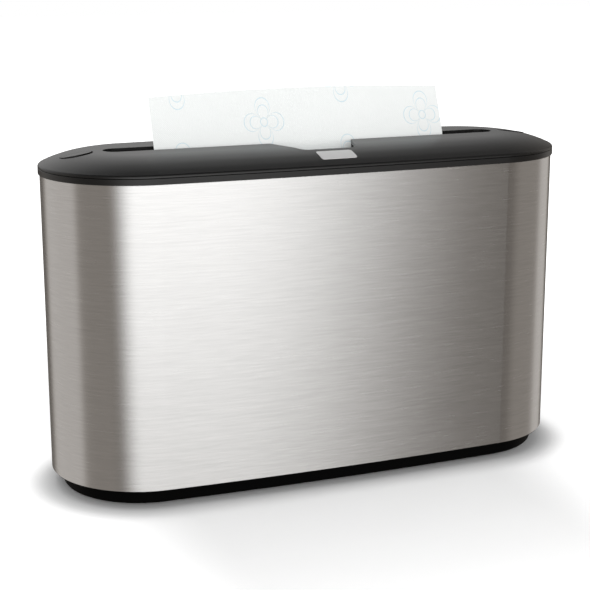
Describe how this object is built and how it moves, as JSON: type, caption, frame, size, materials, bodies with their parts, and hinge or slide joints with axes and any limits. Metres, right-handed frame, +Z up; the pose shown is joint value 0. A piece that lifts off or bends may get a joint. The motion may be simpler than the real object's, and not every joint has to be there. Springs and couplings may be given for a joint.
{
  "type": "countertop paper towel dispenser",
  "caption": "Countertop dispenser for folded paper towels: oval brushed steel sleeve, black base and domed lift-off lid with a towel slot, thumb notch and spring-raised platform.",
  "frame": {"origin": "on the countertop, under the middle of the body", "axes": "+X to the right of someone facing the front, +Y to the back, +Z up"},
  "size_m": [0.3222, 0.1178, 0.2296],
  "materials": {
    "black_base": "fine matt",
    "brushed_steel": "brushed lengthwise",
    "plain_steel": "zinc plated",
    "spring_steel": "polished strip",
    "brass": "knurled",
    "black_frame": "satin",
    "black_lid": "satin",
    "silver_plate": "satin",
    "grey_liner": "moulded",
    "grey_guide": "moulded",
    "white_spool": "moulded",
    "rubber": "matt",
    "paper": "embossed"
  },
  "bodies": {
    "root": {"base_tray": "black_base", "steel_sleeve": "brushed_steel", "seam_strip": "plain_steel", "top_frame": "black_frame", "towel_magazine": "grey_liner", "tie_bolts": "plain_steel", "brass_inserts": "brass", "magazine_screws": "plain_steel", "bracket_rivets": "plain_steel", "left_spool_bracket": "plain_steel", "right_spool_bracket": "plain_steel", "clip_rivets": "plain_steel", "left_latch_clip": "spring_steel", "right_latch_clip": "spring_steel", "left_spool_axle": "plain_steel", "right_spool_axle": "plain_steel", "left_spring_strip": "spring_steel", "right_spring_strip": "spring_steel", "towel_stack": "paper", "front_left_foot": "rubber", "front_right_foot": "rubber", "rear_left_foot": "rubber", "rear_right_foot": "rubber"},
    "lid": {"lid_cover": "black_lid", "label_plate": "silver_plate", "towel_guide": "grey_guide", "guide_screws": "plain_steel", "leading_towel": "paper"},
    "left_tab": {"left_thumb_tab": "black_lid"},
    "right_tab": {"right_thumb_tab": "black_lid"},
    "platform": {"towel_platform": "grey_liner", "strip_rivets": "plain_steel"},
    "left_spool_body": {"left_spool": "white_spool", "left_spring_coil": "spring_steel"},
    "right_spool_body": {"right_spool": "white_spool", "right_spring_coil": "spring_steel"}
  },
  "joints": [
    {"name": "lid_lift", "type": "slide", "parent": "root", "child": "lid", "axis": [0, 0, 1], "range_m": [0, 0.1], "deforming": ["left_latch_clip", "right_latch_clip"]},
    {"name": "platform_lift", "type": "slide", "parent": "root", "child": "platform", "axis": [0, 0, 1], "range_m": [0, 0.142], "deforming": ["towel_stack", "left_spring_strip", "right_spring_strip"]},
    {"name": "left_tab_press", "type": "hinge", "parent": "lid", "child": "left_tab", "pos_m": [-0.14, 0.0014, 0.1932], "axis": [1, 0, 0], "range_deg": [0, 6], "stiffness_Nm_per_rad": 0.4, "deforming": ["left_latch_clip"]},
    {"name": "right_tab_press", "type": "hinge", "parent": "lid", "child": "right_tab", "pos_m": [0.14, 0.0014, 0.1932], "axis": [1, 0, 0], "range_deg": [0, 6], "stiffness_Nm_per_rad": 0.4, "deforming": ["right_latch_clip"]},
    {"name": "left_spool_spin", "type": "hinge", "parent": "root", "child": "left_spool_body", "pos_m": [-0.1115, 0, 0.173], "axis": [0, 1, 0], "range_deg": [-910, 0]},
    {"name": "right_spool_spin", "type": "hinge", "parent": "root", "child": "right_spool_body", "pos_m": [0.1115, 0, 0.173], "axis": [0, 1, 0], "range_deg": [0, 910]}
  ],
  "couplings": [
    {"joint": "left_spool_spin", "follows": "platform_lift", "rad_per_m": -111.11},
    {"joint": "right_spool_spin", "follows": "platform_lift", "rad_per_m": 111.11}
  ]
}
